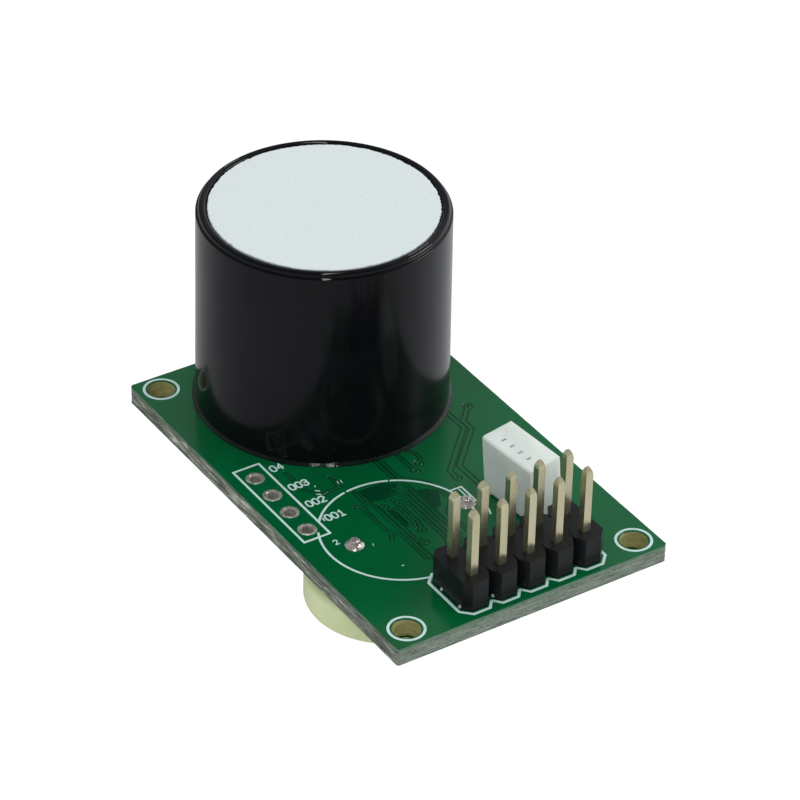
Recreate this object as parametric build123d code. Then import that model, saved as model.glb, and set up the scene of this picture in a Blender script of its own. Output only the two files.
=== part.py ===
from build123d import *
import math
import os

# Ultrasonic distance sensor module, in millimetres, +Z up.
# Origin: centre of the four mounting holes, on the underside of the board.
# +Y runs along the board towards the transducer.

os.makedirs("parts", exist_ok=True)

PITCH = 2.54
GAP = 0.02  # clearance round a wire or pin that stands in a filler

# Board
BOARD_WIDTH = 24.4
BOARD_LENGTH = 39.4
BOARD_THICK = 1.6
BOARD_CORNER_R = 0.25
MOUNT_SPACING_X = 20.58
MOUNT_SPACING_Y = 35.84
MOUNT_HOLE_R = 1.1

# Service port: a row of plated holes with no connector fitted
PORT_X = -10.14
PORT_FIRST_Y = -3.88
PORT_HOLES = 4
PORT_HOLE_R = 0.5
PAD_OUTER_R = 0.8
PAD_THICK = 0.06

# Pin header, two rows
HEADER_COLUMNS = 5
HEADER_ROWS = 2
HEADER_FIRST_X = -4.35
HEADER_FIRST_Y = -17.54
HEADER_BLOCK_HEIGHT = 2.54
HEADER_CHAMFER = 0.58
NOTCH_THROAT_Y = 0.8  # depth at which a notch between cells narrows to a slit
NOTCH_THROAT_HALF = 0.08
NOTCH_DEPTH = 1.65
HEADER_PIN = 0.64
HEADER_PIN_TOP = 9.9
HEADER_PIN_BOTTOM = -1.4
HEADER_TIP = ((0.0, HEADER_PIN), (0.3, 0.54), (0.6, 0.28))  # distance along the taper, width there
HEADER_HOLE_R = 0.5

# White four-way socket, seated a little askew
SOCKET_X = 5.8
SOCKET_Y = -9.6
SOCKET_DEPTH = 2.85
SOCKET_LENGTH = 5.8
SOCKET_HEIGHT = 5.4
SOCKET_TURN = 5.0
SOCKET_LEAN = -5.0
SOCKET_ROUND = 0.22
SOCKET_CONTACTS = 4
SOCKET_PITCH = 1.0
SOCKET_SLOT_X = -0.46
SLOT_DEPTH_X = 0.44
SLOT_WIDTH_Y = 0.22
SLOT_FLOOR = 0.7
FOOT_HEIGHT = 0.22
FOOT_LENGTH = 0.7
CONTACT_DEPTH_X = 0.36
CONTACT_THICK_Y = 0.15
CONTACT_DROP = 0.25
CONTACT_TAIL = -2.6
SOCKET_HOLE_R = 0.42

# Transducer
CAN_X = 0.6
CAN_Y = 11.1
CAN_R = 10.0
CAN_FOOT_R = 10.15
CAN_TOP = 19.1
CAN_WALL = 1.0
CAN_EDGE = 0.35
FRONT_WALL = 0.85
FACE_R = 9.2
FACE_POCKET = 0.42
FACE_THICK = 0.38
PIEZO_R = 6.0
PIEZO_THICK = 1.0
DAMPER_THICK = 1.9
DAMPER_INNER_R = 6.25
PAD_BOTTOM = 12.0
BASE_BOTTOM = 2.2
BASE_TOP = 4.2
CAN_PIN_R = 0.4
CAN_PIN_OFFSET = 5.08
CAN_PIN_TOP = 6.0
CAN_PIN_BOTTOM = -1.1
CAN_HOLE_R = 0.5
WIRE_R = 0.22
DOT_HEIGHT = 0.4
DOT_R = 0.55
BEAD_WIDTH = 0.45
BEAD_HEIGHT = 0.35

# Reservoir capacitor, flat under the board
CELL_X = -5.1
CELL_Y = -7.56
CELL_R = 6.5
CELL_TOP = -0.45
CELL_BOTTOM = -4.0
SLEEVE = 0.15
SLEEVE_OPENING_R = 5.2
SLEEVE_EDGE = 0.14
CASE_WALL = 0.25
GASKET = 0.35
TAB_Y = -7.4
TAB_NEAR_X = -8.13
TAB_FAR_X = 2.03
TAB_THICK = 0.2
TAB_WIDTH = 2.2
TAB_LEG = 0.9
TAB_TOP = 2.0
TAB_HOLE_R = 0.6
WELD_R = 0.9

# Surface-mounted parts under the board
BODY_GAP = 0.1
LEAD_THICK = 0.15
MCU_X = 6.4
MCU_Y = 0.4
MCU_SIDE = 7.0
MCU_SPAN = 9.0
MCU_HEIGHT = 1.4
MCU_PITCH = 0.8
MCU_LEAD = 0.35
MCU_LEADS_PER_SIDE = 8
SO_WIDTH = 3.9
SO_SPAN = 6.0
SO_HEIGHT = 1.5
SO_PITCH = 1.27
SO_LEAD = 0.42
AMP_X = -4.6
AMP_Y = 3.6
AMP_LENGTH = 8.65
AMP_LEADS_PER_SIDE = 7
DRIVER_X = -5.4
DRIVER_Y = 15.4
DRIVER_LENGTH = 4.9
DRIVER_LEADS_PER_SIDE = 4
REG_X = 3.6
REG_Y = 16.2
REG_LENGTH = 4.5
REG_WIDTH = 2.5
REG_HEIGHT = 1.5
REG_PITCH = 1.5
REG_LEAD = 0.5
XTAL_X = 7.7
XTAL_Y = 8.0
XTAL_LENGTH = 5.0
XTAL_WIDTH = 3.2
XTAL_BASE = 0.6
XTAL_HEIGHT = 1.1
CHIP_LENGTH = 1.6
CHIP_WIDTH = 0.8
CHIP_END = 0.35
CAPACITOR_HEIGHT = 0.8
RESISTOR_HEIGHT = 0.45

# Chip places: x, y, and whether the chip lies along Y
CHIP_CAPACITORS = (
    [(x, -5.6, False) for x in (4.0, 6.4, 8.8)]
    + [(x, 8.4, False) for x in (-8.6, -6.2, -3.8, -1.4)]
    + [(9.6, y, True) for y in (12.4, 14.6)]
)
CHIP_RESISTORS = (
    [(-0.7, y, False) for y in (13.3, 14.9, 16.5)]
    + [(x, 6.9, False) for x in (0.8, 3.2)]
    + [(10.7, y, True) for y in (-8.0, -10.4, -12.8)]
    + [(8.7, y, True) for y in (-9.2, -11.6)]
)


def save(shape, name):
    shape.label = name
    export_step(shape, f"parts/{name}.step")


def group(solids):
    return Compound(children=list(solids))


def block(x0, x1, y0, y1, z0, z1):
    """A box between two corners."""
    centre = ((x0 + x1) / 2, (y0 + y1) / 2, (z0 + z1) / 2)
    return Pos(*centre) * Box(x1 - x0, y1 - y0, z1 - z0)


def rod(x, y, radius, z0, z1):
    """An upright round bar."""
    return Pos(x, y, (z0 + z1) / 2) * Cylinder(radius, z1 - z0)


def tube(x, y, outer, inner, z0, z1):
    return rod(x, y, outer, z0, z1) - rod(x, y, inner, z0, z1)


def cone(x, y, r0, r1, z0, z1):
    """A cone from radius r0 at z0 to r1 at z1."""
    return Pos(x, y, (z0 + z1) / 2) * Cone(r0, r1, z1 - z0)


def spread(count, pitch):
    """Offsets of a row centred on zero."""
    return [(i - (count - 1) / 2) * pitch for i in range(count)]


# Places

def mount_places():
    return [(sx * MOUNT_SPACING_X / 2, sy * MOUNT_SPACING_Y / 2) for sx in (-1, 1) for sy in (-1, 1)]


def port_places():
    return [(PORT_X, PORT_FIRST_Y + i * PITCH) for i in range(PORT_HOLES)]


def header_places():
    rows = range(HEADER_ROWS)
    columns = range(HEADER_COLUMNS)
    return [(HEADER_FIRST_X + c * PITCH, HEADER_FIRST_Y + r * PITCH) for c in columns for r in rows]


def can_pin_places():
    return [(CAN_X - CAN_PIN_OFFSET, CAN_Y), (CAN_X + CAN_PIN_OFFSET, CAN_Y)]


def socket_location():
    """Socket frame to board frame: turned about Z, leaning over its long lower edge."""
    drop = SOCKET_DEPTH / 2 * math.sin(math.radians(abs(SOCKET_LEAN)))
    return Pos(SOCKET_X, SOCKET_Y, BOARD_THICK + drop) * Rot(0, 0, SOCKET_TURN) * Rot(0, SOCKET_LEAN, 0)


def contact_place(offset, z):
    """Where a contact's middle line crosses the height z."""
    place = socket_location()
    top = (place * Pos(SOCKET_SLOT_X, offset, 0)).position
    low = (place * Pos(SOCKET_SLOT_X, offset, CONTACT_TAIL)).position
    share = (top.Z - z) / (top.Z - low.Z)
    return top + (low - top) * share


def contact_offsets():
    return spread(SOCKET_CONTACTS, SOCKET_PITCH)


# Board

def circuit_board():
    outline = RectangleRounded(BOARD_WIDTH, BOARD_LENGTH, BOARD_CORNER_R)
    board = extrude(outline, BOARD_THICK)
    holes = [(x, y, MOUNT_HOLE_R) for x, y in mount_places()]
    holes += [(x, y, PORT_HOLE_R) for x, y in port_places()]
    holes += [(x, y, HEADER_HOLE_R) for x, y in header_places()]
    holes += [(x, y, CAN_HOLE_R) for x, y in can_pin_places()]
    holes += [(x, TAB_Y, TAB_HOLE_R) for x in (TAB_NEAR_X, TAB_FAR_X)]
    for offset in contact_offsets():
        centre = contact_place(offset, BOARD_THICK / 2)
        holes.append((centre.X, centre.Y, SOCKET_HOLE_R))
    for x, y, radius in holes:
        board -= rod(x, y, radius, -1, BOARD_THICK + 1)
    return board


def service_hole_pads():
    """A flat tinned ring round each service hole, on both faces of the board."""
    faces = ((BOARD_THICK, BOARD_THICK + PAD_THICK), (-PAD_THICK, 0))
    return group(tube(x, y, PAD_OUTER_R, PORT_HOLE_R, *face) for x, y in port_places() for face in faces)


def underside_joint(x, y, foot_r, tip_r, depth, hole_r, pin):
    """Solder that fills a hole and stands as a cone under the board, round a pin."""
    fill = rod(x, y, hole_r - GAP, 0, BOARD_THICK)
    return fill + cone(x, y, tip_r, foot_r, -depth, 0) - pin


# Pin header

def header_block():
    """Two rows of cells in one moulding, with a deep narrowing notch between cells along both long sides."""
    half = PITCH / 2
    x0 = HEADER_FIRST_X - half
    y0 = HEADER_FIRST_Y - half
    y1 = y0 + HEADER_ROWS * PITCH
    lower = []
    for column in range(HEADER_COLUMNS):
        left = x0 + column * PITCH
        if column:
            lower.append((left - NOTCH_THROAT_HALF, y0 + NOTCH_THROAT_Y))
            lower.append((left, y0 + NOTCH_DEPTH))
            lower.append((left + NOTCH_THROAT_HALF, y0 + NOTCH_THROAT_Y))
        else:
            lower.append((left, y0 + HEADER_CHAMFER))
        lower.append((left + HEADER_CHAMFER, y0))
        lower.append((left + PITCH - HEADER_CHAMFER, y0))
    right = x0 + HEADER_COLUMNS * PITCH
    lower.append((right, y0 + HEADER_CHAMFER))
    upper = [(x, y0 + y1 - y) for x, y in reversed(lower)]
    outline = make_face(Polyline(*lower, *upper, close=True))
    body = Pos(0, 0, BOARD_THICK) * extrude(outline, HEADER_BLOCK_HEIGHT)
    for x, y in header_places():
        body -= header_bar(x, y)
    return body


def header_bar(x, y):
    """The straight square bar of a header pin, longer than the pin at both ends."""
    half = HEADER_PIN / 2
    return block(x - half, x + half, y - half, y + half, -5, HEADER_PIN_TOP + 5)


def header_pin(x, y):
    """A square pin with both ends tapered in two steps."""
    half = HEADER_PIN / 2
    length = HEADER_TIP[-1][0]
    low = HEADER_PIN_BOTTOM + length
    high = HEADER_PIN_TOP - length
    pin = block(x - half, x + half, y - half, y + half, low, high)
    for (near, wide), (far, narrow) in zip(HEADER_TIP, HEADER_TIP[1:]):
        base = Rectangle(wide, wide)
        end = Rectangle(narrow, narrow)
        pin += loft([Pos(x, y, high + near) * base, Pos(x, y, high + far) * end])
        pin += loft([Pos(x, y, low - far) * end, Pos(x, y, low - near) * base])
    return pin


# White socket

def socket_housing():
    body = Pos(0, 0, SOCKET_HEIGHT / 2) * Box(SOCKET_DEPTH, SOCKET_LENGTH, SOCKET_HEIGHT)
    edge = body.edges().filter_by(Axis.Y).sort_by(lambda e: e.center().X - e.center().Z)[0]
    body = fillet(edge, SOCKET_ROUND)
    # the middle of the underside is raised, so the housing stands on a foot at each end
    inner = SOCKET_LENGTH / 2 - FOOT_LENGTH
    body -= block(-SOCKET_DEPTH, SOCKET_DEPTH, -inner, inner, -1, FOOT_HEIGHT)
    for offset in contact_offsets():
        x0 = SOCKET_SLOT_X - SLOT_DEPTH_X / 2
        x1 = SOCKET_SLOT_X + SLOT_DEPTH_X / 2
        half = SLOT_WIDTH_Y / 2
        body -= block(x0, x1, offset - half, offset + half, SLOT_FLOOR, SOCKET_HEIGHT + 1)
        body -= contact_bar(offset)
    return socket_location() * body


def contact_bar(offset):
    """A contact's blade in the socket's own frame."""
    x0 = SOCKET_SLOT_X - CONTACT_DEPTH_X / 2
    x1 = SOCKET_SLOT_X + CONTACT_DEPTH_X / 2
    half = CONTACT_THICK_Y / 2
    return block(x0, x1, offset - half, offset + half, CONTACT_TAIL, SOCKET_HEIGHT - CONTACT_DROP)


def socket_contact(offset):
    return socket_location() * contact_bar(offset)


def socket_solder_joints():
    joints = []
    for offset in contact_offsets():
        hole = contact_place(offset, BOARD_THICK / 2)
        foot = contact_place(offset, 0)
        blade = socket_contact(offset)
        joint = cone(foot.X, foot.Y, 0.3, 0.46, -0.45, 0) + rod(hole.X, hole.Y, SOCKET_HOLE_R - GAP, 0, 0.8)
        joints.append(joint - blade)
    return group(joints)


# Transducer

def can_rod(radius, z0, z1):
    return rod(CAN_X, CAN_Y, radius, z0, z1)


def can_pins():
    return [rod(x, y, CAN_PIN_R, CAN_PIN_BOTTOM, CAN_PIN_TOP) for x, y in can_pin_places()]


def lead_wires():
    top = piezo_bottom() - DOT_HEIGHT
    return [rod(x, y, WIRE_R, CAN_PIN_TOP, top) for x, y in can_pin_places()]


def bored(body, radius):
    """The body with a hole for each pin or wire."""
    for x, y in can_pin_places():
        body -= rod(x, y, radius + GAP, -2, CAN_TOP)
    return body


def front_inner():
    """Height of the front wall's inner face."""
    return CAN_TOP - FACE_POCKET - FRONT_WALL


def piezo_bottom():
    return front_inner() - PIEZO_THICK


def transducer_shell():
    """A cup, open at the board and a little wider there, with a shallow pocket for the face disc."""
    shell = cone(CAN_X, CAN_Y, CAN_FOOT_R, CAN_R, BOARD_THICK, CAN_TOP)
    shell = chamfer(shell.edges().group_by(Axis.Z)[-1], CAN_EDGE)
    shell -= can_rod(CAN_R - CAN_WALL, BOARD_THICK - 1, front_inner())
    shell -= can_rod(FACE_R, CAN_TOP - FACE_POCKET, CAN_TOP + 1)
    return shell


def face_disc():
    floor = CAN_TOP - FACE_POCKET
    return can_rod(FACE_R - GAP, floor, floor + FACE_THICK)


def piezo_disc():
    return can_rod(PIEZO_R, piezo_bottom(), front_inner())


def damping_ring():
    low = front_inner() - DAMPER_THICK
    return tube(CAN_X, CAN_Y, CAN_R - CAN_WALL - GAP, DAMPER_INNER_R, low, front_inner())


def backing_pad():
    high = front_inner() - DAMPER_THICK
    return bored(can_rod(CAN_R - CAN_WALL - GAP, PAD_BOTTOM, high), WIRE_R)


def potting_compound():
    body = can_rod(CAN_R - CAN_WALL - GAP, BASE_TOP, PAD_BOTTOM)
    for x, y in can_pin_places():
        body -= rod(x, y, CAN_PIN_R + GAP, BASE_TOP - 1, CAN_PIN_TOP)
        body -= rod(x, y, WIRE_R + GAP, CAN_PIN_TOP - 1, PAD_BOTTOM + 1)
    return body


def transducer_base():
    return bored(can_rod(CAN_R - CAN_WALL - GAP, BASE_BOTTOM, BASE_TOP), CAN_PIN_R)


def piezo_solder_dots():
    low = piezo_bottom() - DOT_HEIGHT
    return group(cone(x, y, DOT_R * 0.5, DOT_R, low, piezo_bottom()) for x, y in can_pin_places())


def transducer_solder_joints():
    joints = []
    for (x, y), pin in zip(can_pin_places(), can_pins()):
        joints.append(underside_joint(x, y, 0.95, 0.5, 0.8, CAN_HOLE_R, pin))
    return group(joints)


def bonding_bead():
    """A thin fillet of adhesive round the foot of the can, only as far as the board reaches."""
    high = BOARD_THICK + BEAD_HEIGHT
    bead = cone(CAN_X, CAN_Y, CAN_FOOT_R + BEAD_WIDTH, CAN_FOOT_R + GAP, BOARD_THICK, high)
    bead -= can_rod(CAN_FOOT_R + GAP / 2, BOARD_THICK - 1, high + 1)
    reach = BOARD_LENGTH / 2 - 0.25
    return bead & block(-BOARD_WIDTH, BOARD_WIDTH, -reach, reach, BOARD_THICK, high)


# Reservoir capacitor

def cell_rod(radius, z0, z1):
    return rod(CELL_X, CELL_Y, radius, z0, z1)


def capacitor_sleeve():
    """Shrunk film: a thin wall with a lip over each face."""
    film = cell_rod(CELL_R, CELL_BOTTOM, CELL_TOP)
    film = fillet(film.edges(), SLEEVE_EDGE)
    film -= cell_rod(CELL_R - SLEEVE, CELL_BOTTOM + SLEEVE, CELL_TOP - SLEEVE)
    return film - cell_rod(SLEEVE_OPENING_R, CELL_BOTTOM - 1, CELL_TOP + 1)


def capacitor_case():
    """The lower half: a cup that opens towards the board."""
    low = CELL_BOTTOM + SLEEVE
    outer = CELL_R - SLEEVE
    high = CELL_TOP - SLEEVE
    return cell_rod(outer, low, high) - cell_rod(outer - CASE_WALL, low + CASE_WALL, high + 1)


def capacitor_lid():
    """The upper half: a smaller cup that opens downwards, inside the gasket."""
    high = CELL_TOP - SLEEVE
    outer = CELL_R - SLEEVE - CASE_WALL - GASKET
    low = CELL_BOTTOM + SLEEVE + CASE_WALL + GASKET
    return cell_rod(outer, low, high) - cell_rod(outer - CASE_WALL, low - 1, high - CASE_WALL)


def capacitor_gasket():
    """Seals and insulates the lid from the case."""
    low = CELL_BOTTOM + SLEEVE + CASE_WALL
    outer = CELL_R - SLEEVE - CASE_WALL
    return tube(CELL_X, CELL_Y, outer, outer - GASKET, low, CELL_TOP - SLEEVE)


def capacitor_core():
    """The carbon electrode stack."""
    radius = CELL_R - SLEEVE - 2 * CASE_WALL - GASKET
    low = CELL_BOTTOM + SLEEVE + CASE_WALL
    return cell_rod(radius, low, CELL_TOP - SLEEVE - CASE_WALL)


def tab_leg(x, z0):
    return block(x - TAB_THICK / 2, x + TAB_THICK / 2, TAB_Y - TAB_LEG / 2, TAB_Y + TAB_LEG / 2, z0, TAB_TOP)


def capacitor_tab_near():
    """Welded to the lid and turned up through the board inside the rim."""
    lid_top = CELL_TOP - SLEEVE
    x0 = TAB_NEAR_X - TAB_THICK / 2
    foot = block(x0, CELL_X, TAB_Y - TAB_WIDTH / 2, TAB_Y + TAB_WIDTH / 2, lid_top, lid_top + TAB_THICK)
    return foot + tab_leg(TAB_NEAR_X, lid_top)


def capacitor_tab_far():
    """Welded to the case, led out past the rim and up through the board."""
    low = CELL_BOTTOM - TAB_THICK
    x1 = TAB_FAR_X + TAB_THICK / 2
    strip = block(CELL_X, x1, TAB_Y - TAB_WIDTH / 2, TAB_Y + TAB_WIDTH / 2, low, CELL_BOTTOM)
    weld = rod(CELL_X + WELD_R + 0.3, TAB_Y, WELD_R, CELL_BOTTOM, CELL_BOTTOM + SLEEVE)
    return strip + weld + tab_leg(TAB_FAR_X, low)


def capacitor_solder_joint(x, tab):
    """A dome on the top of the board, with the hole below it filled."""
    dome = rod(x, TAB_Y, TAB_HOLE_R - GAP, 0, BOARD_THICK)
    dome += cone(x, TAB_Y, 0.95, 0.8, BOARD_THICK, BOARD_THICK + 0.2)
    dome += cone(x, TAB_Y, 0.8, 0.42, BOARD_THICK + 0.2, BOARD_THICK + 0.55)
    return dome - tab


# Surface-mounted parts: they hang below the board, so their heights run downwards from z = 0

def chip_package(x, y, length, width, height):
    """A moulded body whose four sides draw in slightly away from the lead line."""
    low = -BODY_GAP - height
    mid = -BODY_GAP - height / 2
    draft = 0.12
    waist = Pos(x, y, mid) * Rectangle(length, width)
    top = Pos(x, y, -BODY_GAP) * Rectangle(length - 2 * draft, width - 2 * draft)
    base = Pos(x, y, low) * Rectangle(length - 2 * draft, width - 2 * draft)
    body = loft([waist, top]) + loft([base, waist])
    # a shallow round mark beside the first lead
    mark = rod(x - length / 2 + 0.8, y - width / 2 + 0.8, 0.3, low - 1, low + 0.06)
    return body - mark


def gull_lead(inner, outer, depth, width):
    """A lead along +X: out of a body at a depth below the board, then up to a flat foot."""
    half = LEAD_THICK / 2
    knee = inner + 0.22
    heel = outer - 0.62
    points = [
        (inner, -depth + half),
        (knee, -depth + half),
        (heel, 0),
        (outer, 0),
        (outer, -LEAD_THICK),
        (heel + 0.08, -LEAD_THICK),
        (knee + 0.1, -depth - half),
        (inner, -depth - half),
    ]
    profile = Plane.XZ * make_face(Polyline(*points, close=True))
    return Pos(0, width / 2, 0) * extrude(profile, width)


def lead_row(x, y, side, offsets, body_half, span, depth, width):
    """One side's leads, side being the direction that they point, in degrees."""
    lead = gull_lead(body_half, span / 2, depth, width)
    return [Pos(x, y, 0) * Rot(0, 0, side) * Pos(0, offset, 0) * lead for offset in offsets]


def microcontroller_leads():
    depth = BODY_GAP + MCU_HEIGHT / 2
    offsets = spread(MCU_LEADS_PER_SIDE, MCU_PITCH)
    leads = []
    for side in (0, 90, 180, 270):
        leads += lead_row(MCU_X, MCU_Y, side, offsets, MCU_SIDE / 2, MCU_SPAN, depth, MCU_LEAD)
    return group(leads)


def two_sided_leads(x, y, per_side):
    depth = BODY_GAP + SO_HEIGHT / 2
    offsets = spread(per_side, SO_PITCH)
    leads = []
    for side in (90, 270):
        leads += lead_row(x, y, side, offsets, SO_WIDTH / 2, SO_SPAN, depth, SO_LEAD)
    return group(leads)


def regulator_body():
    low = -BODY_GAP - REG_HEIGHT
    half_x = REG_LENGTH / 2
    half_y = REG_WIDTH / 2
    body = block(REG_X - half_x, REG_X + half_x, REG_Y - half_y, REG_Y + half_y, low, -BODY_GAP)
    return chamfer(body.edges().group_by(Axis.Z)[0], 0.15)


def regulator_leads():
    """Three narrow feet on one side and a wide heat tab on the other, flat on the board."""
    half = REG_LEAD / 2
    near = REG_Y - REG_WIDTH / 2
    far = REG_Y + REG_WIDTH / 2
    feet = []
    for offset in spread(3, REG_PITCH):
        x = REG_X + offset
        feet.append(block(x - half, x + half, near - 1.0, near, -LEAD_THICK - BODY_GAP, 0))
    feet.append(block(REG_X - 0.9, REG_X + 0.9, far, far + 0.6, -LEAD_THICK - BODY_GAP, 0))
    return group(feet)


def crystal_base():
    half_x = XTAL_LENGTH / 2
    half_y = XTAL_WIDTH / 2
    return block(XTAL_X - half_x, XTAL_X + half_x, XTAL_Y - half_y, XTAL_Y + half_y, -XTAL_BASE, 0)


def crystal_lid():
    half_x = XTAL_LENGTH / 2 - 0.3
    half_y = XTAL_WIDTH / 2 - 0.3
    lid = block(XTAL_X - half_x, XTAL_X + half_x, XTAL_Y - half_y, XTAL_Y + half_y, -XTAL_HEIGHT, -XTAL_BASE)
    return fillet(lid.edges().filter_by(Axis.Z), 0.5)


def chip_location(x, y, upright):
    return Pos(x, y, 0) * Rot(0, 0, 90 if upright else 0)


def chip_bodies(places, height):
    half = CHIP_LENGTH / 2 - CHIP_END
    inset = 0.03
    body = block(-half, half, inset - CHIP_WIDTH / 2, CHIP_WIDTH / 2 - inset, inset - height, -inset)
    return [chip_location(*place) * body for place in places]


def chip_ends(places, height):
    half = CHIP_LENGTH / 2
    ends = []
    for place in places:
        for side in (0, 180):
            end = block(half - CHIP_END, half, -CHIP_WIDTH / 2, CHIP_WIDTH / 2, -height, 0)
            ends.append(chip_location(*place) * Rot(0, 0, side) * end)
    return ends


def save_header():
    save(header_block(), "pin_header_block")
    joints = []
    for number, (x, y) in enumerate(header_places(), 1):
        pin = header_pin(x, y)
        save(pin, f"header_pin_{number:02d}")
        joints.append(underside_joint(x, y, 0.82, 0.5, 0.85, HEADER_HOLE_R, header_bar(x, y)))
    save(group(joints), "header_solder_joints")


def save_socket():
    save(socket_housing(), "socket_housing")
    for number, offset in enumerate(contact_offsets(), 1):
        save(socket_contact(offset), f"socket_contact_{number}")
    save(socket_solder_joints(), "socket_solder_joints")


def save_transducer():
    save(transducer_shell(), "transducer_shell")
    save(face_disc(), "face_disc")
    save(piezo_disc(), "piezo_disc")
    save(damping_ring(), "damping_ring")
    save(backing_pad(), "backing_pad")
    save(potting_compound(), "potting_compound")
    save(transducer_base(), "transducer_base")
    for pin, wire, name in zip(can_pins(), lead_wires(), ("ground", "signal")):
        save(pin, f"transducer_pin_{name}")
        save(wire, f"lead_wire_{name}")
    save(piezo_solder_dots(), "piezo_solder_dots")
    save(transducer_solder_joints(), "transducer_solder_joints")
    save(bonding_bead(), "bonding_bead")


def save_capacitor():
    save(capacitor_sleeve(), "capacitor_sleeve")
    save(capacitor_case(), "capacitor_case")
    save(capacitor_lid(), "capacitor_lid")
    save(capacitor_gasket(), "capacitor_gasket")
    save(capacitor_core(), "capacitor_core")
    near = capacitor_tab_near()
    far = capacitor_tab_far()
    save(near, "capacitor_tab_near")
    save(far, "capacitor_tab_far")
    save(capacitor_solder_joint(TAB_NEAR_X, near), "capacitor_solder_joint_1")
    save(capacitor_solder_joint(TAB_FAR_X, far), "capacitor_solder_joint_2")


def save_surface_parts():
    save(chip_package(MCU_X, MCU_Y, MCU_SIDE, MCU_SIDE, MCU_HEIGHT), "microcontroller_body")
    save(microcontroller_leads(), "microcontroller_leads")
    save(chip_package(AMP_X, AMP_Y, AMP_LENGTH, SO_WIDTH, SO_HEIGHT), "amplifier_body")
    save(two_sided_leads(AMP_X, AMP_Y, AMP_LEADS_PER_SIDE), "amplifier_leads")
    save(chip_package(DRIVER_X, DRIVER_Y, DRIVER_LENGTH, SO_WIDTH, SO_HEIGHT), "driver_body")
    save(two_sided_leads(DRIVER_X, DRIVER_Y, DRIVER_LEADS_PER_SIDE), "driver_leads")
    save(regulator_body(), "regulator_body")
    save(regulator_leads(), "regulator_leads")
    save(crystal_base(), "crystal_base")
    save(crystal_lid(), "crystal_lid")
    save(group(chip_bodies(CHIP_CAPACITORS, CAPACITOR_HEIGHT)), "chip_capacitor_bodies")
    save(group(chip_bodies(CHIP_RESISTORS, RESISTOR_HEIGHT)), "chip_resistor_bodies")
    ends = chip_ends(CHIP_CAPACITORS, CAPACITOR_HEIGHT) + chip_ends(CHIP_RESISTORS, RESISTOR_HEIGHT)
    save(group(ends), "chip_terminals")


save(circuit_board(), "circuit_board")
save(service_hole_pads(), "service_hole_pads")
save_header()
save_socket()
save_transducer()
save_capacitor()
save_surface_parts()
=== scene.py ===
"""Looks of a distance sensor module: a green board with a black transducer, a pin header and a white socket.

Lengths are in millimetres until a mesh is made, which scales them to metres.
"""
import math

import bpy
import numpy as np
from mathutils import Matrix, Quaternion, Vector, noise
from mathutils.geometry import delaunay_2d_cdt


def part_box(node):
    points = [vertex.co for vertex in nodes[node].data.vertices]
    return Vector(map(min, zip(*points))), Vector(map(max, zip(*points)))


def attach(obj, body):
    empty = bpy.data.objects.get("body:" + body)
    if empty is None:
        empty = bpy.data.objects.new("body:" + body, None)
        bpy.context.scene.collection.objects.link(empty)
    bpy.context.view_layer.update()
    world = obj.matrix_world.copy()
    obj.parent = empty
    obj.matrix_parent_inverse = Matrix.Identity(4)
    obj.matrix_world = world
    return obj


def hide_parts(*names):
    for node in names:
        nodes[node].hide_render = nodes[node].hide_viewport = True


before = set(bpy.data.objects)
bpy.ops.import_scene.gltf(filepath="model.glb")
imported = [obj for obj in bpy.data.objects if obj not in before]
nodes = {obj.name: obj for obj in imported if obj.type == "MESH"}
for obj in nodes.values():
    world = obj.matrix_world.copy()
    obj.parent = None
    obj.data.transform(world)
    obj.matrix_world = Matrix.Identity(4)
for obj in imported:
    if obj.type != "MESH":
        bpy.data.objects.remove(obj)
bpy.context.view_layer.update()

MM = 0.001
TAU = 2 * math.pi

# Board
HALF_X = 12.2
HALF_Y = 19.7
BOARD_TOP = 1.6
MASK_DEEP = 0.06  # laminate below the face
COPPER_DEEP = 0.035  # mask below the face where there is no copper
INK = 0.014
CORNER_R = 0.25
GAP = 0.12  # bare strip beside a track
WIDE_TRACK = 0.3
NARROW_TRACK = 0.17
VIA_R = 0.3
DRILL_R = 0.14
MOUNT_R = 1.1
MOUNTS = [(x, y) for x in (-10.29, 10.29) for y in (-17.92, 17.92)]
PORT_R = 0.5
PORT_RING_R = 0.76
PORTS = [(-10.14, -3.88 + 2.54 * i) for i in range(4)]
SIDES = {"top": (1, BOARD_TOP), "bottom": (-1, 0.0)}  # which way a face looks, and its height
HOLES = [(x, y, MOUNT_R) for x, y in MOUNTS] + [(x, y, PORT_R) for x, y in PORTS]
PITCH = 2.54
HEADER_X = -4.35
HEADER_Y = -17.54
HEADER_PLACES = [(HEADER_X + PITCH * c, HEADER_Y + PITCH * r) for c in range(5) for r in range(2)]

# Round parts
CAN = (0.6, 11.1)
CAN_R = 10.0
CAN_FOOT_R = 10.15
CAN_TOP = 19.1
CAN_PINS = [(CAN[0] - 5.08, CAN[1]), (CAN[0] + 5.08, CAN[1])]
FACE_DROP = 0.42  # floor of the face's pocket below the rim
FRONT_THICK = 0.85
POCKET_R = 9.2
FILM_R = 9.14
CELL = (-5.1, -7.56)
TABS = [(-8.13, -7.4), (2.03, -7.4)]


# Meshes

def wobble(x, y, z=0.0, size=1.0):
    """Smooth noise from -1 to 1 whose features are about size across."""
    return noise.noise(Vector((x / size, y / size, z / size)))


def show(made):
    bpy.context.scene.collection.objects.link(made)


def piece(name, points, faces, material, slot, replaces, angle):
    """A mesh piece that rides on the board, from points in millimetres."""
    mesh = bpy.data.meshes.new(name)
    mesh.from_pydata([Vector(p) * MM for p in points], [], faces)
    mesh.validate()
    for polygon in mesh.polygons:
        polygon.use_smooth = True
    mesh.set_sharp_from_angle(angle=math.radians(angle))
    mesh.materials.append(material)
    made = bpy.data.objects.new(name, mesh)
    show(made)
    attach(made, "root")
    if replaces:
        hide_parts(*replaces)
    return made


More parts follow.
